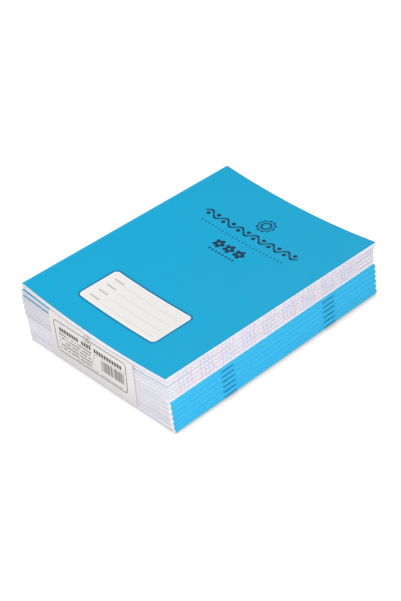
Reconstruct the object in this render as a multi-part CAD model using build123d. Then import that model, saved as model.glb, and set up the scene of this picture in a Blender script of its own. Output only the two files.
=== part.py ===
"""A pack of stapled exercise books: half of them with the spine one way, half the other way.

X runs across the books, Y along their spines and Z up. The pack stands on z = 0, centred on the origin.
The books are thicker at their folded spines than in the middle, so the pack sags along its centre line:
the face between two books is a shallow curve across X, the same all along Y.
"""
import os
from math import cos, radians, sin, sqrt, tan

from build123d import *

# One book
page_width = 165.0
page_height = 210.0
spine_thickness = 5.15          # of the upper books
pressed_spine_thickness = 4.65  # of the lower books, with the others on top of them
middle_thickness = 3.81
fore_edge_thickness = 3.60
cover_thickness = 0.20
cover_gap = 0.05        # air between the cover and the pages
centre_gap = 0.05       # air between the two halves of the pages

# The stack
books_each_way = 6
book_gap = 0.10         # air between two books
top_turn = -0.92        # degrees that the top book lies askew
under_turn = -0.30      # degrees that the book under it lies askew
book_slips = [          # how far each book, from the lowest up, lies off the middle in X and Y
    (0.0, -0.4),
    (-0.3, -0.5),
    (-0.2, -0.55),
    (-0.35, -0.65),
    (-0.25, -0.7),
    (-0.4, -0.8),
    (-1.8, -0.9),
    (-1.75, -1.0),
    (-1.7, -1.1),
    (-1.65, -1.2),
    (-1.35, -0.7),
    (-0.15, -0.4),
]

# Staples
wire_diameter = 0.50
staple_bend = 0.30      # centre-line radius of each bend in the wire
crown_length = 12.0
clinch_length = 4.0
staple_spacing = 104.0  # between the middles of the two crowns
crown_gap = 0.02        # air between the crown and the cover's fold
hole_clearance = 0.05   # round a leg in its pierced hole
eye_clearance = 0.15    # round a clinched leg in the centre fold

# The top book's turning leaves
leaf_groups = 10
leaf_gap = 0.03         # air between two groups of leaves
root_clearance = 0.20   # between the turning roots and the staple crowns
root_gap = 0.30         # between the turning roots and the fold that stays put

# The label slip
label_width = 95.5
label_middle = -2.2     # X of the slip's centre line at its fold
label_lean = -2.5       # how far the slip's foot hangs to one side of its fold
label_thickness = 0.10
label_foot = 3.4        # height of the slip's lower edge above the table
tuck_depth = 18.0       # how far the slip reaches in under the top book
label_gap = 0.05        # air between the slip and the books

# Worked out from the sizes above
half_width = page_width / 2
half_height = page_height / 2
book_count = 2 * books_each_way
wire_radius = wire_diameter / 2
eye_radius = wire_radius + eye_clearance
label_left = label_middle - label_width / 2
label_right = label_middle + label_width / 2
turning_radius = spine_thickness / 2 + crown_gap + wire_diameter + root_clearance
barrel_radius = turning_radius - root_gap


# The curve of a face across the books is held as (a, b, c): z = a + b s + c s^2 with s = x / half_width
def level(number):
    """The face on top of a book, counted from the lowest book up."""
    lower = min(number, books_each_way)
    upper = number - lower
    right = lower * pressed_spine_thickness + upper * fore_edge_thickness
    left = lower * fore_edge_thickness + upper * spine_thickness
    middle = number * middle_thickness
    return middle, (right - left) / 2, (right + left) / 2 - middle


def raised(curve, rise):
    return curve[0] + rise, curve[1], curve[2]


def between(low, high, share):
    return tuple(under + share * (over - under) for under, over in zip(low, high))


def height(curve, x):
    s = x / half_width
    return curve[0] + curve[1] * s + curve[2] * s**2


def steepest(curve):
    """The slope at the edge of the book where the face is steepest."""
    return (abs(curve[1]) + 2 * abs(curve[2])) / half_width


def across(curve, x_from, x_to, y):
    """The edge that a face has across the book: flat on the table, and a very shallow arc elsewhere."""
    start, middle, end = [(x, y, height(curve, x)) for x in (x_from, (x_from + x_to) / 2, x_to)]
    return ThreePointArc(start, middle, end) if curve[2] else Line(start, end)


def turn_of(number):
    """Degrees that a book lies askew: only the top two do."""
    return {book_count: top_turn, book_count - 1: under_turn}.get(number, 0)


def gap_over(number):
    """Air on top of a book. It grows where the next book lies askew, and where the slip is tucked in."""
    if number == book_count:
        return 0
    askew = abs(sin(radians(turn_of(number + 1) - turn_of(number))))
    tucked = label_thickness + label_gap if number == book_count - 1 else 0
    return book_gap + askew * half_height * steepest(level(number)) + tucked


class Book:
    """Where one book's spine, fold, edges and faces lie."""

    def __init__(self, number):
        slip_x, slip_y = book_slips[(number - 1) % len(book_slips)]
        self.side = 1 if number <= books_each_way else -1
        self.turn = turn_of(number)
        self.fold_depth = (pressed_spine_thickness if self.side > 0 else spine_thickness) / 2
        self.spine = self.side * half_width + slip_x
        self.fold = self.spine - self.side * self.fold_depth
        self.fore_edge = self.spine - self.side * page_width
        self.middle_y = slip_y
        self.tail = slip_y - half_height
        self.low = level(number - 1)
        self.high = raised(level(number), -gap_over(number))
        self.centre = between(self.low, self.high, 0.5)
        self.axis_height = height(self.centre, self.fold)

    def placed(self, shape):
        return Rot(Z=self.turn) * shape

    def tail_beside(self, x, turn):
        """Y of this book's tail at a place along X, in the frame of a book that lies at another turn."""
        askew = radians(self.turn - turn)
        return x * tan(askew) + self.tail / cos(askew)

    def inside(self, depth):
        """The lower and upper faces, moved into the book."""
        return raised(self.low, depth), raised(self.high, -depth)

    def extruded(self, *edges):
        return extrude(Face(Wire(edges)), amount=page_height, dir=(0, 1, 0))

    def strip(self, low, high, x_from, x_to):
        """A layer of the book between two curved faces."""
        return self.extruded(
            across(low, x_from, x_to, self.tail),
            Line((x_to, self.tail, height(low, x_to)), (x_to, self.tail, height(high, x_to))),
            across(high, x_to, x_from, self.tail),
            Line((x_from, self.tail, height(high, x_from)), (x_from, self.tail, height(low, x_from))),
        )

    def arc(self, start, start_curve, tip, end_curve):
        """The round of the fold, from one face over the tip to the other face."""
        return ThreePointArc(
            (start, self.tail, height(start_curve, start)),
            (tip, self.tail, self.axis_height),
            (start, self.tail, height(end_curve, start)),
        )

    def folded(self, outer, outer_tip, inner, inner_start, inner_tip):
        """A sheet or a block of sheets folded once, with its round fold at the spine."""
        outer_low, outer_high = outer
        inner_low, inner_high = inner
        edge = self.fore_edge
        return self.extruded(
            across(outer_low, edge, self.fold, self.tail),
            self.arc(self.fold, outer_low, outer_tip, outer_high),
            across(outer_high, self.fold, edge, self.tail),
            Line((edge, self.tail, height(outer_high, edge)), (edge, self.tail, height(inner_high, edge))),
            across(inner_high, edge, inner_start, self.tail),
            self.arc(inner_start, inner_high, inner_tip, inner_low),
            across(inner_low, inner_start, edge, self.tail),
            Line((edge, self.tail, height(inner_low, edge)), (edge, self.tail, height(outer_low, edge))),
        )

    def rod(self, radius, length):
        """A round bar along the fold."""
        return Pos(self.fold, self.middle_y, self.axis_height) * Rot(X=90) * Cylinder(radius, length)

    def leg_places(self):
        """Y of the four staple legs, in pairs."""
        middles = [self.middle_y + way * staple_spacing / 2 for way in (-1, 1)]
        return [(middle - crown_length / 2, middle + crown_length / 2) for middle in middles]

    def pierced(self, shape):
        """The holes that the staple legs pass through, from outside the spine to the centre fold."""
        drill = Rot(Y=90) * Cylinder(wire_radius + hole_clearance, 2 * self.fold_depth)
        for pair in self.leg_places():
            for y in pair:
                shape -= Pos(self.spine, y, self.axis_height) * drill
        return shape


def make_cover(book):
    """The card cover, folded once round the pages."""
    outer = book.low, book.high
    inner = book.inside(cover_thickness)
    inner_tip = book.spine - book.side * cover_thickness
    return book.pierced(book.folded(outer, book.spine, inner, book.fold, inner_tip))


def make_pages(book):
    """The folded sheets, with an eye in the centre fold for the clinched staple legs."""
    skin = cover_thickness + cover_gap
    inner = raised(book.centre, -centre_gap / 2), raised(book.centre, centre_gap / 2)
    eye_mouth = book.fold - book.side * sqrt(eye_radius**2 - (centre_gap / 2) ** 2)
    eye_tip = book.fold + book.side * eye_radius
    outer_tip = book.spine - book.side * skin
    return book.pierced(book.folded(book.inside(skin), outer_tip, inner, eye_mouth, eye_tip))


def make_staples(book):
    """Two bent wires: crown outside the spine, legs through the fold, ends clinched towards each other."""
    crown_x = book.spine + book.side * (crown_gap + wire_radius)
    staples = []
    for first, last in book.leg_places():
        points = [
            (book.fold, first + clinch_length, book.axis_height),
            (book.fold, first, book.axis_height),
            (crown_x, first, book.axis_height),
            (crown_x, last, book.axis_height),
            (book.fold, last, book.axis_height),
            (book.fold, last - clinch_length, book.axis_height),
        ]
        path = FilletPolyline(*points, radius=staple_bend)
        section = Plane(origin=path @ 0, z_dir=path % 0) * Circle(wire_radius)
        staples.append(sweep(section, path=path))
    return Compound([wire.solid() for wire in staples])


def front_half(book, radius):
    """Everything of the front half of a book that lies further than this from the fold's axis."""
    above = raised(book.high, book.fold_depth)
    beyond = book.fore_edge - book.side * book.fold_depth
    return book.strip(book.centre, above, book.fold, beyond) - book.rod(radius, 2 * page_height)


def make_front_cover(book):
    """The half of the cover that opens."""
    strip = book.strip(raised(book.high, -cover_thickness), book.high, book.fold, book.fore_edge)
    return strip - book.rod(turning_radius, 2 * page_height)


def make_leaf_group(book, number):
    """A few leaves of the front half, counted from the centre fold outwards."""
    first = raised(book.centre, centre_gap / 2)
    last = raised(book.high, -cover_thickness - cover_gap)
    low = raised(between(first, last, (number - 1) / leaf_groups), leaf_gap / 2)
    high = raised(between(first, last, number / leaf_groups), -leaf_gap / 2)
    return book.strip(low, high, book.fold, book.fore_edge) - book.rod(turning_radius, 2 * page_height)


def make_label(reach):
    """The printed slip: a flap tucked in under the top book, and a panel that hangs over the tail."""
    rest = raised(level(book_count - 1), label_gap - gap_over(book_count - 1))
    top = raised(rest, label_thickness)
    flap_left, flap_right = [(x, reach, height(rest, x)) for x in (label_left, label_right)]
    top_left, top_right = [(x, reach, height(top, x)) for x in (label_left, label_right)]
    foot_left, foot_right = [(x + label_lean, reach, label_foot) for x in (label_left, label_right)]
    top_edge = across(top, label_right, label_left, reach)
    flap = Face(Wire([
        across(rest, label_left, label_right, reach),
        Line(flap_right, top_right),
        top_edge,
        Line(top_left, flap_left),
    ]))
    panel = Face(Wire([
        Line(foot_left, foot_right),
        Line(foot_right, top_right),
        top_edge,
        Line(top_left, foot_left),
    ]))
    hanging = extrude(panel, amount=label_thickness, dir=(0, -1, 0))
    return hanging + extrude(flap, amount=tuck_depth, dir=(0, 1, 0))


def write(name, shape):
    export_step(shape, f"parts/{name}.step")


os.makedirs("parts", exist_ok=True)
books = [Book(number) for number in range(1, book_count + 1)]
top_book = books[-1]

for number, book in enumerate(books[:-1], 1):
    write(f"book_{number:02d}_cover", book.placed(make_cover(book)))
    write(f"book_{number:02d}_pages", book.placed(make_pages(book)))
    write(f"book_{number:02d}_staples", book.placed(make_staples(book)))

opening = front_half(top_book, barrel_radius)
write("top_book_back_cover", top_book.placed(make_cover(top_book) - opening))
write("top_book_back_pages", top_book.placed(make_pages(top_book) - opening))
write("top_book_staples", top_book.placed(make_staples(top_book)))
write("top_book_front_cover", top_book.placed(make_front_cover(top_book)))
for number in range(1, leaf_groups + 1):
    write(f"top_book_leaves_{number:02d}", top_book.placed(make_leaf_group(top_book, number)))

# The slip lies square on the book under the top one, just clear of the tail that reaches out furthest
under_book = books[-2]
corners = [side + lean for side in (label_left, label_right) for lean in (0, label_lean)]
tails = [book.tail_beside(x, under_book.turn) for book in books for x in corners]
label_reach = min(tails) - label_gap
write("label_slip", under_book.placed(make_label(label_reach)))

axis = top_book.placed(Pos(top_book.fold, top_book.middle_y, top_book.axis_height)).position
print(f"cover hinge through {axis.X:.4f}, {axis.Y:.4f}, {axis.Z:.4f}, turned {top_book.turn} degrees")
edges = [round(height(level(book_count), x), 2) for x in (-half_width, half_width)]
print(f"pack height at the left and right edges {edges}, slip at y {label_reach:.3f}")
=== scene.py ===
# %% [markdown]
# # A pack of stapled exercise books
#
# Twelve thin school books lie in a pile. The lower six have their spines on the right and the upper six
# are turned round, so that thick folded spines lie over thin fore-edges and the pile stays level. A
# printed slip is tucked in under the top book and hangs over the tail.
#
# The packed CAD model gives each piece its place and the way it moves. This lesson adds what the eye
# sees: single sheets, printed card, ruling that shows at the trimmed edges, and steel wire.

# %% Load the packed model
from math import cos, pi, radians, sin, tan

import bpy
import numpy as np
from mathutils import Matrix, Vector


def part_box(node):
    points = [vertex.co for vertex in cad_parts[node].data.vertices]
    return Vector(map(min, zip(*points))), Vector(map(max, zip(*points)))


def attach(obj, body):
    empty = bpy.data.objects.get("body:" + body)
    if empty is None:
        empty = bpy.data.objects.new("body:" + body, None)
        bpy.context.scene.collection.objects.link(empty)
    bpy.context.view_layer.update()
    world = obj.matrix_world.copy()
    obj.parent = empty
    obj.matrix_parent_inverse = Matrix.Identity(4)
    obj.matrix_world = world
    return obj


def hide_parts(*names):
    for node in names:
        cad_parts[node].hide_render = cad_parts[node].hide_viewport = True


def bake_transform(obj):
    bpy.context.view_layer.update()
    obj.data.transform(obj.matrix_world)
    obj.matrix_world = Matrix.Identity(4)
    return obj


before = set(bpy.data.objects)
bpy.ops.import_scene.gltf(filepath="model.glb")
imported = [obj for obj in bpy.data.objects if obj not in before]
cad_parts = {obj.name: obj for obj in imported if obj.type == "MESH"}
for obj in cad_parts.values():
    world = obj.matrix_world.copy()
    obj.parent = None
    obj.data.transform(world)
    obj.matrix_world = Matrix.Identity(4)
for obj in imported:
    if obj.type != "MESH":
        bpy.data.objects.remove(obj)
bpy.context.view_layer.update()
mm = 0.001

# %% [markdown]
# ## The sizes that the books share
#
# A folded book is thickest at its spine and thinnest at its fore-edge, and the pile sags along the
# middle. The solids are drawn with these few sizes, so the sheets made here repeat them, in millimetres.
# Reading them back from the solids' corners would give the outer boxes, but not the sag between them.

# %% Sizes of a book and of the pile
page_width = 165.0
page_height = 210.0
spine_thickness = 5.15
pressed_spine_thickness = 4.65
middle_thickness = 3.81
fore_edge_thickness = 3.60
card_thickness = 0.20
card_to_paper = 0.05
eye_radius = 0.40

books_each_way = 6
book_gap = 0.10
slip_room = 0.15
top_turn = -0.92
under_turn = -0.30
book_slips = [
    (0.0, -0.4), (-0.3, -0.5), (-0.2, -0.55), (-0.35, -0.65), (-0.25, -0.7), (-0.4, -0.8),
    (-1.8, -0.9), (-1.75, -1.0), (-1.7, -1.1), (-1.65, -1.2), (-1.35, -0.7), (-0.15, -0.4),
]

tail_line = -1.2
tail_spread = 0.4

half_width = page_width / 2
half_height = page_height / 2
book_count = 2 * books_each_way
fold_depth = spine_thickness / 2
leaf_reach = page_width - fold_depth
print("books", book_count, "with leaves that reach", leaf_reach, "mm from the fold")

# %% [markdown]
# ## Where each book lies
#
# The face between two books is a shallow curve across the pile. It gets deeper from the table up, as the
# thick spines add up at both sides. The top book lies a degree askew and the one under it a third as
# much. The slip presses the tails behind it into line, so those books keep only a part of the small
# shifts that their solids have. A small class keeps these places together, so that every later step only
# asks a book where it is.


# %% Places of the books
def face_curve(number):
    """Height at the middle, rise to the right and rise to both sides, on top of that many books."""
    lower = min(number, books_each_way)
    upper = number - lower
    right = lower * pressed_spine_thickness + upper * fore_edge_thickness
    left = lower * fore_edge_thickness + upper * spine_thickness
    middle = number * middle_thickness
    return middle, (right - left) / 2, (right + left) / 2 - middle


def face_height(number, x):
    """Height of the face on top of that many books, at a place across the pile."""
    middle, tilt, bow = face_curve(number)
    return middle + tilt * x / half_width + bow * (x / half_width) ** 2


def turn_of(number):
    """How far a book lies askew, in radians."""
    return radians({book_count: top_turn, book_count - 1: under_turn}.get(number, 0))


def gap_over(number):
    """Air on top of a book, which grows where the next one lies askew and where the slip is tucked in."""
    if number == book_count:
        return 0
    _, tilt, bow = face_curve(number)
    steepest = (abs(tilt) + 2 * abs(bow)) / half_width
    askew = abs(sin(turn_of(number + 1) - turn_of(number))) * half_height * steepest
    return book_gap + askew + (slip_room if number == book_count - 1 else 0)


class Book:
    """One book of the pile, counted from the lowest."""

    def __init__(self, number):
        self.number = number
        self.side = 1 if number <= books_each_way else -1
        self.slip_x, self.slip_y = book_slips[number - 1]
        if number < book_count - 1:
            self.slip_y = tail_line + (self.slip_y - tail_line) * tail_spread
        self.turn = turn_of(number)
        self.fold_depth = (pressed_spine_thickness if self.side > 0 else spine_thickness) / 2
        self.fold = self.side * (half_width - self.fold_depth) + self.slip_x

    def low(self, x):
        return face_height(self.number - 1, x)

    def high(self, x):
        return face_height(self.number, x) - gap_over(self.number)

    def put(self, x, y, z):
        """Points of this book, turned as it lies, in metres."""
        turned_x = x * cos(self.turn) - y * sin(self.turn)
        turned_y = x * sin(self.turn) + y * cos(self.turn)
        return np.stack([turned_x, turned_y, z], axis=-1) * mm

    def tail_beside(self, x, turn):
        """Where this book's tail lies along the spine, seen from a book that lies at another turn."""
        askew = self.turn - turn
        return x * tan(askew) + (self.slip_y - half_height) / cos(askew)


books = [Book(number) for number in range(1, book_count + 1)]
top_book = books[-1]
for book in (books[0], books[-2]):
    _, solid_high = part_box(f"book_{book.number:02d}_cover")
    spine_top = book.high(book.side * half_width + book.slip_x)
    print("book", book.number, "top at its spine", round(spine_top, 3),
          "and its solid reaches", round(solid_high.z / mm, 3))

# %% [markdown]
# ## A short way to write shader maths
#
# Every finish here is a node material. Nodes placed by hand are hard to read in a script, so one small
# class wraps an output socket: adding or multiplying it in Python adds the Math node. The reflected
# operators let a plain number stand on the left as well.


# %% Numbers on a surface
def linear(red, green, blue):
    """A colour as a picture shows it, from 0 to 255, as the shader needs it."""
    shares = [value / 255 for value in (red, green, blue)]
    return [s / 12.92 if s <= 0.04045 else ((s + 0.055) / 1.055) ** 2.4 for s in shares] + [1.0]


class Field:
    """A number that varies over a surface."""

    def __init__(self, finish, socket):
        self.finish = finish
        self.socket = socket

    def math(self, operation, *values):
        inputs = dict(enumerate(values))
        return self.finish.field("ShaderNodeMath", {"operation": operation}, inputs)

    def __add__(self, other):
        return self.math("ADD", self, other)

    def __sub__(self, other):
        return self.math("SUBTRACT", self, other)

    def __mul__(self, other):
        return self.math("MULTIPLY", self, other)

    def __truediv__(self, other):
        return self.math("DIVIDE", self, other)

    def __rsub__(self, other):
        return self.math("SUBTRACT", other, self)

    def __abs__(self):
        return self.math("ABSOLUTE", self)

    def __gt__(self, other):
        return self.math("GREATER_THAN", self, other)

    def __lt__(self, other):
        return self.math("LESS_THAN", self, other)

    __radd__ = __add__
    __rmul__ = __mul__

    def math_of(self, operation):
        return self.math(operation, self)

    def wrapped(self, period):
        """What is left after whole periods, also below zero."""
        return self.math("FLOORED_MODULO", self, period)

    def floor(self):
        return self.math("FLOOR", self)

    def larger(self, other):
        return self.math("MAXIMUM", self, other)

    def smaller(self, other):
        return self.math("MINIMUM", self, other)

    def root(self):
        return self.math("SQRT", self)


print("a pale grey of 226 is", round(linear(226, 226, 226)[0], 3), "in the shader")

# %% [markdown]
# A second class holds a node tree. It makes any other node from its type, its settings and the values or
# links of its sockets. What comes up again and again, such as noise, soft bands and mixed colours, has a
# method of its own.


# %% Node trees
class Finish:
    """A node tree with a short way to add to it."""

    def __init__(self, tree):
        self.tree = tree

    def feed(self, socket, value):
        if isinstance(value, Field):
            value = value.socket
        if isinstance(value, bpy.types.NodeSocket):
            self.tree.links.new(value, socket)
        else:
            socket.default_value = value

    def node(self, kind, settings=None, inputs=None):
        made = self.tree.nodes.new(kind)
        for name, value in (settings or {}).items():
            setattr(made, name, value)
        for name, value in (inputs or {}).items():
            self.feed(made.inputs[name], value)
        return made

    def field(self, kind, settings=None, inputs=None, output=0):
        return Field(self, self.node(kind, settings, inputs).outputs[output])

    def place(self):
        """Where a point lies on the piece, in metres."""
        return self.node("ShaderNodeTexCoord").outputs["Object"]

    def stretched_place(self, scale):
        """The same, with a pattern made finer along the axes whose scale is larger."""
        inputs = {"Vector": self.place(), "Scale": scale}
        return self.node("ShaderNodeMapping", None, inputs).outputs[0]

    def along(self, axis):
        """Millimetres along one axis of the piece."""
        spread = self.node("ShaderNodeSeparateXYZ", None, {"Vector": self.place()})
        return Field(self, spread.outputs["XYZ".index(axis)]) / mm

    def attribute(self, name):
        """A number that was stored with the points of the piece."""
        return self.field("ShaderNodeAttribute", {"attribute_name": name}, None, "Fac")

    def print_place(self):
        """Millimetres from the fold and along the spine, from the piece's own UV map."""
        own_map = self.node("ShaderNodeUVMap").outputs[0]
        spread = self.node("ShaderNodeSeparateXYZ", None, {"Vector": own_map})
        return Field(self, spread.outputs[0]) / mm, Field(self, spread.outputs[1]) / mm

    def noise(self, size, detail=2.0, vector=None):
        """Soft random patches about as large as size, in metres."""
        inputs = {"Vector": vector or self.place(), "Scale": 1 / size, "Detail": detail}
        return self.field("ShaderNodeTexNoise", None, inputs)

    def ramp(self, value, start, end, low=0.0, high=1.0):
        """Turns smoothly from low to high between two values."""
        inputs = {"Value": value, "From Min": start, "From Max": end, "To Min": low, "To Max": high}
        return self.field("ShaderNodeMapRange", {"interpolation_type": "SMOOTHSTEP"}, inputs)

    def mix(self, share, first, second):
        """One colour over another."""
        settings = {"data_type": "RGBA", "clamp_factor": True}
        return self.node("ShaderNodeMix", settings, {0: share, 6: first, 7: second}).outputs[2]

    def band(self, value, centre, half, soft):
        """1 within a half width of the centre, and 0 further out."""
        return self.ramp(abs(value - centre), half, half + soft, 1.0, 0.0)

    def shade(self, colour, amount):
        """A colour made lighter or darker."""
        settings = {"data_type": "RGBA", "blend_type": "MULTIPLY"}
        grey = self.node("ShaderNodeCombineColor", None, {0: amount, 1: amount, 2: amount}).outputs[0]
        return self.node("ShaderNodeMix", settings, {0: 1.0, 6: colour, 7: grey}).outputs[2]

    def bump(self, height, depth):
        inputs = {"Strength": 1.0, "Distance": depth, "Height": height}
        return self.node("ShaderNodeBump", None, inputs).outputs[0]


print("node helpers:", ", ".join(name for name in vars(Finish) if not name.startswith("_")))

# %% [markdown]
# A material is such a tree with one Principled shader. What is the same all over goes straight on the
# shader's sockets, because an export can drop a value that comes through a node.


# %% Materials
class Surface(Finish):
    """A material with one Principled shader. Values that are the same all over are set on its sockets."""

    def __init__(self, name, **constants):
        self.material = bpy.data.materials.new(name)
        self.material.use_nodes = True
        super().__init__(self.material.node_tree)
        self.shader = self.tree.nodes["Principled BSDF"]
        for socket, value in constants.items():
            self.shader.inputs[socket.replace("_", " ")].default_value = value

    def show(self, **inputs):
        for socket, value in inputs.items():
            self.feed(self.shader.inputs[socket.replace("_", " ")], value)
        print("finish", self.material.name, "with", len(self.tree.nodes), "nodes")
        return self.material


# %% [markdown]
# ## Printed card
#
# The covers are thin card with one flat blue ink and a soft sheen. The front carries a pale name panel
# with writing lines and a band of dark ornament above it. Drawing the print as separate meshes would lift
# it off the card, so it is worked out in the shader from the UV map, which holds how far a point lies from
# the fold and along the spine. A few functions give the shapes that the print is made of.

# %% Shapes of the print
fold_arc = fold_depth * pi / 2
cover_middle = half_width - fold_depth


def rounded_box(x, y, size, radius):
    """Distance outside a rectangle with rounded corners, in millimetres."""
    over_x = abs(x) - (size[0] / 2 - radius)
    over_y = abs(y) - (size[1] / 2 - radius)
    out_x = over_x.larger(0.0)
    out_y = over_y.larger(0.0)
    corner = (out_x * out_x + out_y * out_y).root()
    return corner + over_x.larger(over_y).smaller(0.0) - radius


def wave(finish, x, y, length, period, lift, stroke):
    """A wavy line."""
    crest = (x * (2 * pi / period)).math_of("SINE") * lift
    return finish.band(y - crest, 0.0, stroke / 2, 0.3) * finish.band(x, 0.0, length / 2, 0.2)


def berries(finish, x, y, length, period, radius, sway):
    """A row of round dots, above and below the middle in turn by as much as sway."""
    along = x.wrapped(period / 2) - period / 4
    side = (x / (period / 2)).floor().wrapped(2.0) * 2.0 - 1.0
    across = y - side * sway
    away = (along * along + across * across).root()
    return finish.band(away, 0.0, radius, 0.3) * finish.band(x, 0.0, length / 2, 0.2)


def flower(x, y, radius, petals, waist):
    """Distance out from the middle of a flower with round petals, where 1 is their rim."""
    away = (x * x + y * y).root()
    petal = abs((x.math("ARCTAN2", y, x) * (petals / 2)).math_of("COSINE"))
    return away / ((petal * (1.0 - waist) + waist) * radius)


print("middle of the front", round(fold_arc + cover_middle, 2), "mm from the tip of the fold")

# %% [markdown]
# The ornament is a garland with berries, two rows of dots, three blossoms and a rosette. Each is a mask
# from 0 to 1, and the largest of them wins. The name panel goes over the ink in three steps: a dark
# outline, a white rim and a cream field with writing lines.

# %% Ornament and name panel
garland_rise = 54.0
garland_length = 100.8
garland_period = 16.8
fine_dots_rise = 43.6
blossom_rise = 31.0
blossom_pitch = 11.0
short_dots_rise = 22.4
rosette_rise = 70.5
panel_size = (85.4, 37.6)
panel_corner = 3.5
panel_shift = 0.2
panel_drop = 63.5
writing_pitch = 8.0
blossom_row = 1.5 * blossom_pitch
writing_rows = 2 * writing_pitch


def ornament(finish, x, v):
    """1 where the dark ink of the ornament lies."""
    y = v - garland_rise
    garland = wave(finish, x, y, garland_length, garland_period, 2.9, 1.8)
    garland = garland.larger(berries(finish, x, y, garland_length, garland_period, 1.7, 1.7))
    fine_dots = berries(finish, x, v - fine_dots_rise, 91.2, 7.6, 0.65, 0.0)
    along = (x + blossom_row).wrapped(blossom_pitch) - blossom_pitch / 2
    blossom = flower(along, v - blossom_rise, 5.4, 5.0, 0.6)
    blossoms = finish.band(blossom, 0.62, 0.34, 0.08) * (abs(x) < blossom_row)
    short_dots = berries(finish, x, v - short_dots_rise, 28.8, 7.2, 0.95, 0.0)
    rosette = flower(x, v - rosette_rise, 8.4, 10.0, 0.8)
    rings = finish.band(rosette, 0.90, 0.07, 0.05).larger(finish.band(rosette, 0.50, 0.10, 0.05))
    return garland.larger(fine_dots * 0.85).larger(blossoms).larger(short_dots * 0.9).larger(rings * 0.9)


def name_panel(finish, colour, x, y, on_front, grain):
    """The colour with the name panel laid over it."""
    edge = rounded_box(x, y, panel_size, panel_corner)
    outline = finish.band(edge, 0.85, 0.6, 0.5)
    white_rim = finish.ramp(edge, -0.05, 0.15, 1.0, 0.0)
    field = finish.ramp(edge, -1.25, -1.0, 1.0, 0.0)
    cream = finish.shade(linear(243, 240, 237), 0.98 + grain * 0.04)
    colour = finish.mix(outline * on_front * 0.85, colour, linear(6, 116, 160))
    colour = finish.mix(white_rim * on_front, colour, linear(250, 250, 250))
    colour = finish.mix(field * on_front, colour, cream)
    row = (y + writing_rows).wrapped(writing_pitch) - writing_pitch / 2
    lines = finish.band(row, -2.2, 0.09, 0.12) * finish.band(x, 8.0, 29.0, 0.3)
    words = finish.band(row, -0.6, 0.75, 0.3) * finish.band(x, -31.0, 5.0, 0.4)
    strokes = finish.band(x.wrapped(1.7), 0.85, 0.5, 0.2)
    writing = (lines * 0.45).larger(words * strokes * 0.55) * (abs(y) < writing_rows) * on_front
    return finish.mix(writing, colour, linear(120, 112, 116))


print("name panel", panel_size, "mm, with", round(2 * writing_rows / writing_pitch), "writing lines")

# %% [markdown]
# The ink on the card is a little uneven, and the fibres show as a fine grain. Round the folds it is paler,
# partly from rubbed ink and partly from a painted sheen. Light and shade are also painted there: lighter
# on the flanks of the fold, where shade falls between the books, and darker along its lit middle. The last
# millimetre at the cut edges is darker as well.


# %% Printed card
def printed_card():
    finish = Surface("Printed_card", Specular_IOR_Level=0.12)
    u, v = finish.print_place()
    x = u - fold_arc - cover_middle
    on_front = u > fold_arc

    patches = finish.noise(0.030, 3.0)
    grain = finish.noise(0.0007, 2.0)
    colour = finish.shade(linear(6, 173, 219), 0.955 + patches * 0.06 + grain * 0.03)
    # How much of the paler fold colour a cover gets: partly rubbed ink, partly painted sheen.
    wear = finish.attribute("wear")
    rubbed_and_sheen = finish.band(abs(u), 0.0, fold_arc, 1.0) * finish.ramp(grain, 0.3, 0.7, 0.85, 1.0)
    # Painted light on the flanks of the fold, where shade falls between the books, and painted shade along
    # its lit middle.
    shaded_flanks = finish.ramp(abs(u - 0.8), 0.0, 3.0)
    nose = finish.mix(shaded_flanks, linear(44, 168, 211), linear(80, 199, 241))
    colour = finish.mix(rubbed_and_sheen * wear, colour, nose)
    to_cut = (half_height - abs(v)).smaller(fold_arc + leaf_reach - abs(u))
    colour = finish.shade(colour, finish.ramp(to_cut, 0.0, 1.1, 0.65, 1.0))
    colour = finish.mix(ornament(finish, x, v) * on_front * 0.95, colour, linear(6, 44, 72))
    colour = name_panel(finish, colour, x - panel_shift, v + panel_drop, on_front, grain)

    rough = finish.ramp(patches, 0.3, 0.7, 0.40, 0.47)
    return finish.show(Base_Color=colour, Roughness=rough, Normal=finish.bump(grain, 0.00001))


printed = printed_card()

# %% [markdown]
# ## The card's other side and its cut edge
#
# Inside, the card is unprinted and off-white, with short fibres. The guillotine leaves a clean white
# edge. Both are plain, so a little fibre in colour, gloss and relief is enough. A single grey would look
# like plastic.


# %% Plain card
def plain_card(name, colour, fibre_share):
    finish = Surface(name, Specular_IOR_Level=0.3)
    fibres = finish.noise(0.0012, 4.0, finish.stretched_place((1.0, 3.0, 1.0)))
    clouds = finish.noise(0.012, 2.0)
    amount = 1.0 - fibre_share + fibres * fibre_share + clouds * fibre_share
    rough = finish.ramp(fibres, 0.3, 0.7, 0.65, 0.8)
    return finish.show(Base_Color=finish.shade(colour, amount), Roughness=rough,
                       Normal=finish.bump(fibres, 0.00001))


card_inside = plain_card("Card_inside", linear(232, 231, 228), 0.05)
card_edge = plain_card("Card_cut_edge", linear(243, 243, 245), 0.06)

# %% [markdown]
# ## Ruled paper
#
# The pages are ruled in fours: a red line, two blue ones and a red one, for practising letters. The lines
# run across the page to the fore-edge, where the guillotine cuts through the ink. There each leaf shows a
# tiny dot, and the dots of many leaves add up to the pale pink and blue streaks that run down the pile.
# Both finishes use the same ruling, sharp on the page and soft at the edge, so the streaks meet the
# lines. The edges close to the table are made darker, as little light gets in there.

# %% Ruled paper
rule_period = 20.4
rule_step = 11.0 / 3
rule_start = 4.0
first_red = 2.0
first_blue = first_red + rule_step
next_blue = first_blue + rule_step
ruled_from = -99.0
ruled_to = 84.0
front_margin = 22.0
back_margin = 140.0
fore_edge_zone = (150.0, 160.0)


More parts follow.
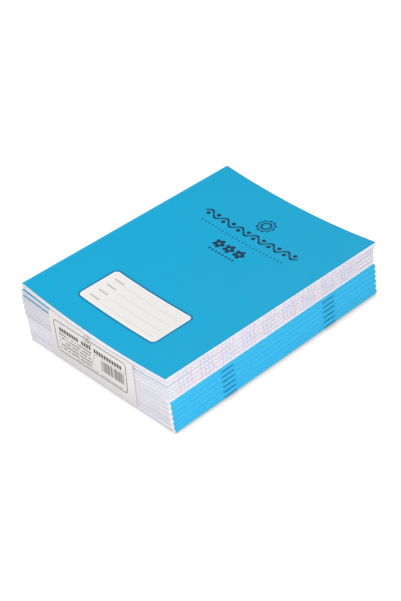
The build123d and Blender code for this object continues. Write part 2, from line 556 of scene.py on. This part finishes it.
def ruling(finish, v, half, soft):
    """Where the red and the blue lines lie along the spine."""
    place = (v - rule_start).wrapped(rule_period)
    inside = finish.band(v, (ruled_from + ruled_to) / 2, (ruled_to - ruled_from) / 2, 0.5)
    next_red = first_red + 3 * rule_step
    red = finish.band(place, first_red, half, soft) + finish.band(place, next_red, half, soft)
    blue = finish.band(place, first_blue, half, soft) + finish.band(place, next_blue, half, soft)
    return red * inside, blue * inside


def ruled_paper():
    finish = Surface("Ruled_paper", Specular_IOR_Level=0.25)
    u, v = finish.print_place()
    red, blue = ruling(finish, v, 0.10, 0.08)
    margin = finish.band(u, fold_arc + front_margin, 0.12, 0.08)
    margin = margin.larger(finish.band(u, -fold_arc - back_margin, 0.12, 0.08))
    fibres = finish.noise(0.0010, 3.0)
    clouds = finish.noise(0.009, 2.0)
    colour = finish.shade(linear(226, 225, 228), 0.95 + fibres * 0.04 + clouds * 0.05)
    colour = finish.mix(blue * 0.75, colour, linear(112, 160, 214))
    colour = finish.mix(red.larger(margin) * 0.7, colour, linear(222, 120, 150))
    return finish.show(Base_Color=colour, Roughness=finish.ramp(fibres, 0.3, 0.7, 0.72, 0.86),
                       Normal=finish.bump(fibres, 0.000008))


def trimmed_edges():
    finish = Surface("Trimmed_edges", Specular_IOR_Level=0.15)
    u, v = finish.print_place()
    # The stored tone is random tone with painted light and painted shade added.
    tone = finish.attribute("tone")
    red, blue = ruling(finish, v, 0.2, 0.9)
    at_fore_edge = finish.ramp(abs(u), *fore_edge_zone)
    strength = at_fore_edge * finish.ramp(finish.noise(0.005, 2.0), 0.35, 0.65, 0.30, 0.85)
    paper = finish.mix(tone, linear(231, 227, 236), linear(226, 228, 241))
    at_head = at_fore_edge * finish.ramp(v, ruled_to, ruled_to + 3.0)
    contrast = 0.10 - at_fore_edge * 0.062 + at_head * 0.102
    colour = finish.shade(paper, 0.92 + tone * contrast)
    mottle = at_fore_edge * finish.ramp(finish.noise(0.002, 2.0), 0.45, 0.7, 0.0, 0.5)
    colour = finish.mix(mottle, colour, linear(232, 222, 236))
    colour = finish.mix(blue * strength * 0.7, colour, linear(172, 188, 226))
    colour = finish.mix(red * strength, colour, linear(232, 176, 202))
    # Painted highlight wherever the stored rim is high.
    rim = finish.ramp(finish.attribute("rim"), 0.4, 0.95)
    colour = finish.mix(rim * 0.9, colour, linear(247, 253, 255))
    colour = finish.shade(colour, finish.ramp(finish.along("Z"), 0.3, 1.6, 0.62, 1.0))
    fuzz = finish.noise(0.0005, 2.0)
    return finish.show(Base_Color=colour, Roughness=finish.ramp(fuzz, 0.3, 0.7, 0.8, 0.95))


page = ruled_paper()
page_edge = trimmed_edges()

# %% [markdown]
# ## Folding flat sheets
#
# A real book starts as a pile of flat sheets that are folded once. So does this one: a grid primitive is
# one flat sheet, an Array modifier piles up the copies, and then every point is carried round the spine.
# A Simple Deform bend would give each sheet the same round, but nested sheets turn on ever larger radii
# and thin out towards the fore-edge, so the fold is a short formula. Solidify gives the paper its
# thickness.

# %% Fold helpers
bulge_reach = 7.0
squareness = 0.85
smooth_below = radians(40)
coarse_nose = 3
fine_nose = 6
coarse_flats = [0.0, 2.5, 8.0, 28.0, 50.0, 72.0, 94.0, 116.0, 138.0, leaf_reach]
fine_flats = [0.5 * step for step in range(15)] + [8.0, 10.0, 14.0, 20.0] + coarse_flats[3:]
rng = np.random.default_rng(12)


def stations(flats, nose_steps, halves):
    """Distance from the fold and angle round it for each column of a sheet, from back to front."""
    round_nose = [(0.0, pi / 2 * step / nose_steps) for step in range(nose_steps)]
    front = round_nose + [(distance, pi / 2) for distance in flats]
    back = [(distance, -angle) for distance, angle in reversed(front)]
    columns = {"both": back[:-1] + front, "front": front, "back": back}[halves]
    return np.array(columns)


def flat_sheets(name, columns, rows, count):
    """A flat grid, and copies of it one above another."""
    bpy.ops.object.select_all(action="DESELECT")
    bpy.ops.mesh.primitive_grid_add(x_subdivisions=columns, y_subdivisions=rows, size=1.0)
    piece = bpy.context.object
    piece.name = name
    piece.data.name = name
    copies = piece.modifiers.new("Copies", "ARRAY")
    copies.count = count
    copies.use_relative_offset = False
    copies.use_constant_offset = True
    copies.constant_offset_displace = (0.0, 0.0, 1.0)
    bpy.ops.object.modifier_apply(modifier=copies.name)
    return piece


def mesh_points(piece):
    points = np.zeros(len(piece.data.vertices) * 3)
    piece.data.vertices.foreach_get("co", points)
    return points.reshape(-1, 3)


def set_points(piece, points):
    piece.data.vertices.foreach_set("co", points.astype(np.float32).ravel())
    piece.data.update()


def set_print_place(piece, u, v):
    """Writes the UV map from one pair of millimetres per point."""
    corners = np.zeros(len(piece.data.loops), np.int32)
    piece.data.loops.foreach_get("vertex_index", corners)
    pairs = np.stack([u, v], axis=1)[corners] * mm
    piece.data.uv_layers[0].data.foreach_set("uv", pairs.astype(np.float32).ravel())


def store(piece, name, values):
    """Keeps a number with every point, for the finish to read."""
    attribute = piece.data.attributes.new(name, "FLOAT", "POINT")
    attribute.data.foreach_set("value", np.asarray(values, np.float32))


def thicken(piece, thickness, offset, materials, inside_step, edge_step):
    """Gives a sheet its thickness, with other materials inside and on the cut edges."""
    for material in materials:
        piece.data.materials.append(material)
    shell = piece.modifiers.new("Thickness", "SOLIDIFY")
    shell.thickness = thickness * mm
    shell.offset = offset
    shell.material_offset = inside_step
    shell.material_offset_rim = edge_step
    bpy.ops.object.modifier_apply(modifier=shell.name)
    bpy.ops.object.shade_smooth_by_angle(angle=smooth_below)


def fold_sheets(piece, book, columns, shares, inset, trim):
    """Carries flat sheets round the spine. The shares run from 0 at the centre fold to 1 outside."""
    points = mesh_points(piece)
    column = np.rint((points[:, 0] + 0.5) * (len(columns) - 1)).astype(int)
    sheet = np.rint(points[:, 2]).astype(int)
    share = shares[sheet]
    distance = columns[column, 0] * (page_width - book.fold_depth + trim[sheet]) / leaf_reach
    angle = columns[column, 1]
    flat_x = book.fold - book.side * distance
    low = book.low(flat_x) + inset
    high = book.high(flat_x) - inset
    nose = eye_radius + (book.fold_depth - inset - eye_radius) * share
    bulge = (1 - share) * eye_radius * np.exp(-((distance / bulge_reach) ** 2))
    out = np.cos(angle) ** squareness
    rise = np.sign(angle) * np.abs(np.sin(angle)) ** squareness
    x = flat_x + book.side * nose * out
    y = book.slip_y - book.side * points[:, 1] * page_height
    z = (low + high) / 2 + (share * (high - low) / 2 + bulge) * rise
    set_points(piece, book.put(x, y, z))
    u = np.sign(angle) * distance + fold_depth * angle
    return u, points[:, 1] * page_height, z, sheet


print("columns across a folded sheet", len(stations(coarse_flats, coarse_nose, "both")))

# %% [markdown]
# ## The pages of each book
#
# A hundred pages are twenty-five sheets, folded together. One piece holds a book's sheets. Each sheet
# differs a little in tone, in how it was trimmed and in where its ruling falls, because a perfect block of
# edges looks like a white brick. Two numbers stored with the points carry this to the finish. The first is
# the tone, with painted shade added on the back sheets of each book so that the books stand apart, and
# painted light added on the outermost front sheets and on the whole top book. The second is the rim, a
# painted highlight that whitens the folds and the edges that catch the light. The top book opens, so its
# back half stays one piece and its front half comes as ten groups of leaves.

# %% Sheets
sheets_in_book = 25
sheet_thickness = 0.052
leaf_groups = 10
trim_spread = 0.03
ruling_drift = 0.05
ruling_spread = 0.12
ruling_shift = rng.normal(0, 0.45, book_count)
# Painted light on the outermost front sheets of each book, and painted shade on its back sheets, added to
# the tone.
outer_share = 0.85
outer_painted_light = 0.8
back_share = 0.66
back_shade_range = {1: (1.0, 4.5), -1: (2.5, 5.0)}
# Painted highlights on the folds, stronger on the lower books.
fold_highlight = {1: 1.0, -1: 0.45}
# Painted light over all the top book's sheets.
top_painted_light = 0.7
# Painted highlight on the top book's tail.
top_highlight = 0.75
shares = (np.arange(sheets_in_book) + 0.5) / sheets_in_book


def fade(distance, start, end):
    """1 up to the start, and 0 from the end on."""
    return np.clip((end - distance) / (end - start), 0, 1)


def make_sheets(name, book, columns, which):
    """The chosen sheets of one book, counted from the centre fold outwards."""
    piece = flat_sheets(name, len(columns) - 1, 2, len(which))
    trim = rng.normal(0, trim_spread, len(which))
    u, v, z, sheet = fold_sheets(piece, book, columns, shares[which], card_thickness + card_to_paper, trim)
    slip = rng.normal(0, ruling_spread, len(which))[sheet] + ruling_shift[book.number - 1]
    set_print_place(piece, u, v - ruling_drift * z + slip)
    # Random tone for each sheet, with painted light and painted shade added to it.
    shades = (rng.uniform(0, 1, len(which)) + rng.uniform(-0.3, 0.3))[sheet]
    share = shares[which][sheet]
    back_shade = rng.uniform(*back_shade_range[book.side])
    shades += outer_painted_light * (share > outer_share) * (u > 0) - back_shade * (share > back_share) * (u < 0)
    # Painted highlights on the top book's front sheets, on the fore-edge of the lowest upper book, and on
    # the folds.
    lit = {book_count: share * (u > 0), books_each_way + 1: np.sqrt(share) * (u < -leaf_reach)}
    fold_lit = np.minimum(fade(np.abs(u), 4.0, 9.0), fold_highlight[book.side])
    rim = np.maximum(lit.get(book.number, 0.0), fold_lit)
    if book is top_book:
        shades += top_painted_light
        rim = np.maximum(rim, top_highlight * fade(np.abs(u), 115.0, 135.0))
    store(piece, "tone", shades)
    store(piece, "rim", rim)
    thicken(piece, sheet_thickness, 0.0, [page, page_edge], 0, 1)
    return piece


all_sheets = np.arange(sheets_in_book)
whole_columns = stations(coarse_flats, coarse_nose, "both")
for book in books[:-1]:
    body = f"book_{book.number:02d}"
    sheets = make_sheets(f"{body}_sheets", book, whole_columns, all_sheets)
    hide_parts(f"{body}_pages")
    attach(sheets, body)
print("sheets of a lower book", len(sheets.data.polygons), "faces")

# %% [markdown]
# ## The covers
#
# A cover is the same fold with one sheet of card round the outside. Its print is on the outer face, so
# Solidify puts the thickness inside and gives the inner face and the cut edges their own materials. The
# covers of the upper books are set back a little behind the pages. The top book's fold gets less of the
# paler fold colour, which is partly rubbed ink and partly painted sheen.

# %% Covers
card_setback = 0.3
# The top book's share of the paler fold colour, which is partly rubbed ink and partly painted sheen.
light_wear = 0.3


def make_card(name, book, columns):
    set_back = book.side < 0 and book is not top_book
    piece = flat_sheets(name, len(columns) - 1, 2, 1)
    trim = np.full(1, -card_setback if set_back else 0.0)
    u, v, _, _ = fold_sheets(piece, book, columns, np.ones(1), 0.0, trim)
    set_print_place(piece, u, v)
    store(piece, "wear", np.full(len(u), light_wear if book is top_book else 1.0))
    thicken(piece, card_thickness, -1.0, [printed, card_inside, card_edge], 1, 2)
    return piece


cover_columns = stations(coarse_flats, fine_nose, "both")
for book in books[:-1]:
    body = f"book_{book.number:02d}"
    card = make_card(f"{body}_card", book, cover_columns)
    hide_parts(f"{body}_cover")
    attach(card, body)
print("cover of a lower book", len(card.data.polygons), "faces")

# %% [markdown]
# ## The book that opens
#
# The top book's sheets and its cover are cut at the tip of the fold, where the cut can't be seen. The back
# halves ride on the book. The front halves keep their place at rest and are tied to no body; over the
# first few millimetres from the fold their points lie close together.

# %% Top book
bend_start = 0.3
bend_end = 6.5
fold_line = top_book.fold
fold_height = (top_book.low(fold_line) + top_book.high(fold_line)) / 2


def beside_fold(distance):
    """A point level with the fold's axis, that far towards the fore-edge."""
    x = fold_line - top_book.side * distance
    return tuple(top_book.put(x, top_book.slip_y, fold_height))


def bend_with(piece):
    beside_fold(bend_start)
    beside_fold(bend_end)
    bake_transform(piece)


back_columns = stations(fine_flats, fine_nose, "back")
front_columns = stations(fine_flats, fine_nose, "front")
back_sheets = make_sheets("top_book_back_sheets", top_book, back_columns, all_sheets)
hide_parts("top_book_back_pages")
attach(back_sheets, "top_book")
back_card = make_card("top_book_back_card", top_book, back_columns)
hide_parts("top_book_back_cover")
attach(back_card, "top_book")
front_card = make_card("top_book_front_card", top_book, front_columns)
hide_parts("top_book_front_cover")
bend_with(front_card)
for number in range(1, leaf_groups + 1):
    group = all_sheets[all_sheets * leaf_groups // sheets_in_book == number - 1]
    leaves = make_sheets(f"top_book_turning_leaves_{number:02d}", top_book, front_columns, group)
    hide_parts(f"top_book_leaves_{number:02d}")
    bend_with(leaves)
    print("leaves", number, "hold", len(group), "sheets")

# %% [markdown]
# ## The printed slip
#
# The slip is one strip of paper, creased over the edge of the book below the top one. It starts as a flat
# grid too: the far rows lie in the pile, a few rows go round the crease, and the rest hang down. Real
# paper never hangs dead flat, so the foot leans to one side and swings in towards the pages. Its print is
# only generic: a frame, a flower, rows of dashes and a block of stripes.

# %% Slip paper
slip_width = 95.5
slip_middle = -2.2
slip_lean = -2.5
slip_foot = 2.6
slip_thickness = 0.10
slip_gap = 0.05
tuck_depth = 18.0
slip_book = books[-2]
print_taper = 0.0012
print_tilt = 0.008
print_rise = 1.7
print_top = 40.0
frame_size = (82.4, 29.2)
frame_middle = (-1.8, 22.4)
badge_middle = (-3.0, 36.4)
badge_clear = 4.4
title_rise = 30.2
rule_rise = 27.0
line_rise = 25.7
line_pitch = 3.3
foot_rise = 9.6
stripe_pitch = 0.62


def dash_row(finish, x, y, start, end, height, pitch, row):
    """Dashes in uneven groups, like words without letters."""
    cell = (x / pitch).floor()
    seed = finish.node("ShaderNodeCombineXYZ", None, {0: cell, 1: float(row)}).outputs[0]
    chance = finish.field("ShaderNodeTexWhiteNoise", {"noise_dimensions": "2D"}, {"Vector": seed})
    within = finish.band(x, (start + end) / 2, (end - start) / 2, 0.2)
    dash = finish.band(x.wrapped(pitch), pitch / 2, pitch * 0.30, pitch * 0.12)
    return finish.band(y, 0.0, height / 2, 0.15) * within * dash * (chance > 0.18)


def slip_print(finish, x, y):
    """1 where the ink of the slip lies."""
    edge = rounded_box(x - frame_middle[0], y - frame_middle[1], frame_size, 3.0)
    marks = finish.band(edge, 0.0, 0.28, 0.22)
    rule = finish.band(y, rule_rise, 0.14, 0.18) * finish.band(x, 22.0, 17.2, 0.2)
    marks = marks.larger(rule * 0.8)
    badge_x = x - badge_middle[0]
    badge_y = y - badge_middle[1]
    badge = (badge_x * badge_x + badge_y * badge_y).root()
    petals = flower(badge_x, badge_y, 3.2, 5.0, 0.6)
    marks = marks * finish.ramp(badge, badge_clear, badge_clear + 0.3)
    marks = marks.larger(finish.band(badge, badge_clear - 0.2, 0.2, 0.2) * 0.85)
    marks = marks.larger(finish.band(petals, 0.6, 0.3, 0.1) * 0.65)
    marks = marks.larger(dash_row(finish, x, y - title_rise, -38.5, 36.5, 3.6, 2.9, 1) * 1.1)
    for row in range(5):
        line_y = y - line_rise + line_pitch * row
        marks = marks.larger(dash_row(finish, x, line_y, -38.5, 4.0 - 1.5 * row, 1.4, 1.5, 5 + row))
    marks = marks.larger(dash_row(finish, x, y - foot_rise, -20.0, 34.0, 0.9, 1.2, 12) * 0.65)
    stripe = {"W": (x / stripe_pitch).floor()}
    chance = finish.field("ShaderNodeTexWhiteNoise", {"noise_dimensions": "1D"}, stripe)
    in_block = finish.band(x, 23.5, 12.9, 0.1) * finish.band(y, 19.8, 5.2, 0.1)
    return marks.larger((chance * 0.6 + 0.4) * (chance > 0.15) * in_block)


def slip_paper():
    finish = Surface("Slip_paper", Specular_IOR_Level=0.3)
    x, y = finish.print_place()
    fibres = finish.noise(0.0011, 3.0)
    clouds = finish.noise(0.010, 2.0)
    colour = finish.shade(linear(225, 221, 220), 0.95 + fibres * 0.04 + clouds * 0.05)
    colour = finish.shade(colour, finish.ramp(y, 3.0, 26.0, 0.90, 1.0))
    x = x / (1.0 - (print_top - y) * print_taper)
    y = y - print_rise - x * print_tilt
    colour = finish.mix(slip_print(finish, x, y) * 0.92, colour, linear(58, 53, 55))
    return finish.show(Base_Color=colour, Roughness=finish.ramp(fibres, 0.3, 0.7, 0.6, 0.75),
                       Normal=finish.bump(fibres, 0.000008))


slip_finish = slip_paper()

# %% [markdown]
# The slip lies square on the book under the top one, which is itself a little askew. So its rows are
# worked out in that book's frame and turned with it. It hangs just clear of the tail that reaches out
# furthest.

# %% Fold the slip over the edge
bend_radius = 1.1
slip_columns = 24
tuck_steps = 6
turn_steps = 5
drop_steps = 11
slip_left = slip_middle - slip_width / 2
slip_right = slip_middle + slip_width / 2
corners = [side + lean for side in (slip_left, slip_right) for lean in (0, slip_lean)]
tails = [book.tail_beside(x, slip_book.turn) for book in books for x in corners]
hang_y = min(tails) - slip_gap - slip_thickness / 2

slip_rows = tuck_steps + turn_steps + drop_steps
slip = flat_sheets("printed_slip", slip_columns, slip_rows - 1, 1)
points = mesh_points(slip)
row = slip_rows - 1 - np.rint((points[:, 1] + 0.5) * (slip_rows - 1)).astype(int)
x = slip_middle + points[:, 0] * slip_width
top = slip_book.high(x) + slip_gap + slip_thickness / 2
angle = pi / 2 * np.clip((row - tuck_steps) / (turn_steps - 1), 0, 1)
tucked = np.clip(1 - row / tuck_steps, 0, 1)
dropped = np.clip((row - tuck_steps - turn_steps + 1) / drop_steps, 0, 1)
crease_end = top - bend_radius * (1 - np.cos(angle))
leaning_x = x + slip_lean * dropped
furthest_tail = np.min([book.tail_beside(leaning_x, slip_book.turn) for book in books[:-1]], axis=0)
room = furthest_tail - slip_gap - slip_thickness / 2 - hang_y
y = hang_y + bend_radius * (1 - np.sin(angle)) + (tuck_depth - bend_radius) * tucked
y = y + room * (1 - (1 - dropped) ** 2)
z = crease_end + (slip_foot - crease_end) * dropped
set_print_place(slip, x - slip_middle, z + (y - hang_y) * (dropped == 0))
set_points(slip, slip_book.put(leaning_x, y, z))
hanging = dropped > 0
least_room = np.min((furthest_tail - y)[hanging]) - slip_thickness / 2
print("slip clear of the tails by", round(least_room, 3), "and swung in by up to", round(room.max(), 3))
thicken(slip, slip_thickness, 0.0, [slip_finish], 0, 0)
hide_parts("label_slip")
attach(slip, "label")
print("slip", len(slip.data.polygons), "faces, hanging at y", round(hang_y, 2))

# %% [markdown]
# ## Staples
#
# The staples keep their solids: bent wire needs no more shape. Drawn wire has faint lines along it and a
# dull gleam, so the finish is a metal whose gloss varies in streaks. In the picture the crowns are darker
# and bluer than bare steel between the spines, so the metal is tinted.


# %% Staple wire
def staple_wire():
    finish = Surface("Staple_wire", Metallic=1.0)
    streaks = finish.noise(0.0002, 2.0, finish.stretched_place((1.0, 0.08, 1.0)))
    colour = finish.shade(linear(30, 112, 148), 0.75 + streaks * 0.4)
    return finish.show(Base_Color=colour, Roughness=finish.ramp(streaks, 0.3, 0.7, 0.28, 0.45))


wire = staple_wire()
staple_nodes = [node for name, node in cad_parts.items() if name.endswith("staples")]
for node in staple_nodes:
    node.data.materials.clear()
    node.data.materials.append(wire)
print("staple nodes", len(staple_nodes))

# %% [markdown]
# ## Floor, light and background
#
# The pack stands on a white sheet with a wide soft light from the side of the spines. The floor should
# read as white in the picture and still keep the soft shadow at the pack's foot. More light would wash
# out the paper, so only the rays that come from the camera, straight or by way of a mirror or a glass, see
# a floor and a world that are lifted to white. The lift fades in the last millimetres at the foot, where
# the pack shuts out the light. Beside the spines it is a little warm, against the blue that they throw.

# %% Floor
floor_lift = 0.42
shade_reach = 0.008
floor_size = 6.0
spine_side = (70.0, 85.0)
plain_lift = (1.0, 1.0, 1.0, 1.0)
warm_lift = (1.35, 0.92, 0.92, 1.0)


def seen_directly(finish):
    """1 for rays from the camera, in mirrors and through glass."""
    path_kind = finish.node("ShaderNodeLightPath")
    kinds = [Field(finish, path_kind.outputs[name])
             for name in ("Is Camera Ray", "Is Glossy Ray", "Is Transmission Ray")]
    return kinds[0].larger(kinds[1]).larger(kinds[2])


def studio_floor():
    finish = Surface("Studio_floor", Roughness=0.9, Specular_IOR_Level=0.0)
    clouds = finish.noise(0.5, 2.0)
    reach = {"Distance": shade_reach}
    open_share = finish.field("ShaderNodeAmbientOcclusion", {"samples": 16}, reach, "AO")
    beside_spines = finish.ramp(finish.along("X"), *spine_side)
    blue_glow = finish.ramp(open_share, 0.75, 1.0, 1.0, 0.0) * beside_spines
    sheet = finish.mix(blue_glow, linear(242, 242, 242), linear(242, 227, 213))
    finish.show(Base_Color=finish.shade(sheet, 0.99 + clouds * 0.02))
    lift_tint = finish.mix(beside_spines, plain_lift, warm_lift)
    lift_colour = finish.shade(lift_tint, finish.ramp(open_share, 0.35, 0.96))
    lift = finish.node("ShaderNodeEmission", None, {"Color": lift_colour, "Strength": floor_lift})
    lifted = finish.node("ShaderNodeAddShader", None, {0: finish.shader.outputs[0], 1: lift.outputs[0]})
    chosen = finish.node("ShaderNodeMixShader", None,
                         {0: seen_directly(finish), 1: finish.shader.outputs[0], 2: lifted.outputs[0]})
    finish.feed(finish.tree.nodes["Material Output"].inputs["Surface"], chosen.outputs[0])
    return finish.material


bpy.ops.object.select_all(action="DESELECT")
bpy.ops.mesh.primitive_plane_add(size=floor_size, location=(0, 0, 0))
floor = bpy.context.object
floor.name = "studio_floor"
floor.data.materials.append(studio_floor())
print("white floor", floor_size, "m wide")

# %% [markdown]
# The world lights the pack evenly from all sides, with a little less than the white that the camera sees.
# Two square lamps give the light a direction: a wide one low on the side of the spines, and a weaker one
# in front of the tail.

# %% World and lamps
ambient = 0.78
world = bpy.data.worlds.new("studio_world")
bpy.context.scene.world = world
world.use_nodes = True
sky = Finish(world.node_tree)
background = world.node_tree.nodes["Background"]
background.inputs["Color"].default_value = (1.0, 1.0, 1.0, 1.0)
sky.feed(background.inputs["Strength"], seen_directly(sky) * (1.0 - ambient) + ambient)


def soft_lamp(name, way, distance, size, share):
    """A square lamp that points at the pack. The share is what it adds to a face turned towards it."""
    way = Vector(way).normalized()
    bpy.ops.object.light_add(type="AREA", location=way * distance)
    lamp = bpy.context.object
    lamp.name = name
    lamp.data.shape = "SQUARE"
    lamp.data.size = size
    lamp.data.energy = share * pi**2 * distance**2
    lamp.rotation_euler = way.to_track_quat("Z", "Y").to_euler()
    print(name, "with", round(lamp.data.energy, 2), "watts")


soft_lamp("side_light", (0.92, -0.35, 0.10), 0.8, 0.6, 0.62)
soft_lamp("front_light", (0.20, -0.55, 0.45), 0.75, 0.5, 0.18)

# %% [markdown]
# ## Camera
#
# The camera was fitted to the pack's corners in the picture: its direction, its slight tilt, its distance
# and how far the pack sits off the middle. A long lens keeps the long edges almost parallel.

# %% Camera
camera_azimuth = radians(51.18)
camera_elevation = radians(36.91)
camera_roll = radians(-7.04)
camera_distance = 1120.65
camera_side = -3.78
camera_rise = 11.51
focal_pixels = 1458.12
picture_height = 601
sensor = 36.0

back = Vector((sin(camera_azimuth) * cos(camera_elevation), -cos(camera_azimuth) * cos(camera_elevation),
               sin(camera_elevation)))
level_right = Vector((0, 0, 1)).cross(back).normalized()
level_up = back.cross(level_right)
right = level_right * cos(camera_roll) + level_up * sin(camera_roll)
up = level_up * cos(camera_roll) - level_right * sin(camera_roll)
place = (back * camera_distance + right * camera_side + up * camera_rise) * mm

bpy.ops.object.camera_add(location=place)
camera = bpy.context.object
camera.name = "camera"
camera.matrix_world = Matrix.Translation(place) @ Matrix((right, up, back)).transposed().to_4x4()
camera.data.sensor_width = sensor
camera.data.lens = focal_pixels * sensor / picture_height
bpy.context.scene.camera = camera
bpy.context.scene.view_settings.view_transform = "Standard"
print("lens", round(camera.data.lens, 2), "mm")

# %% [markdown]
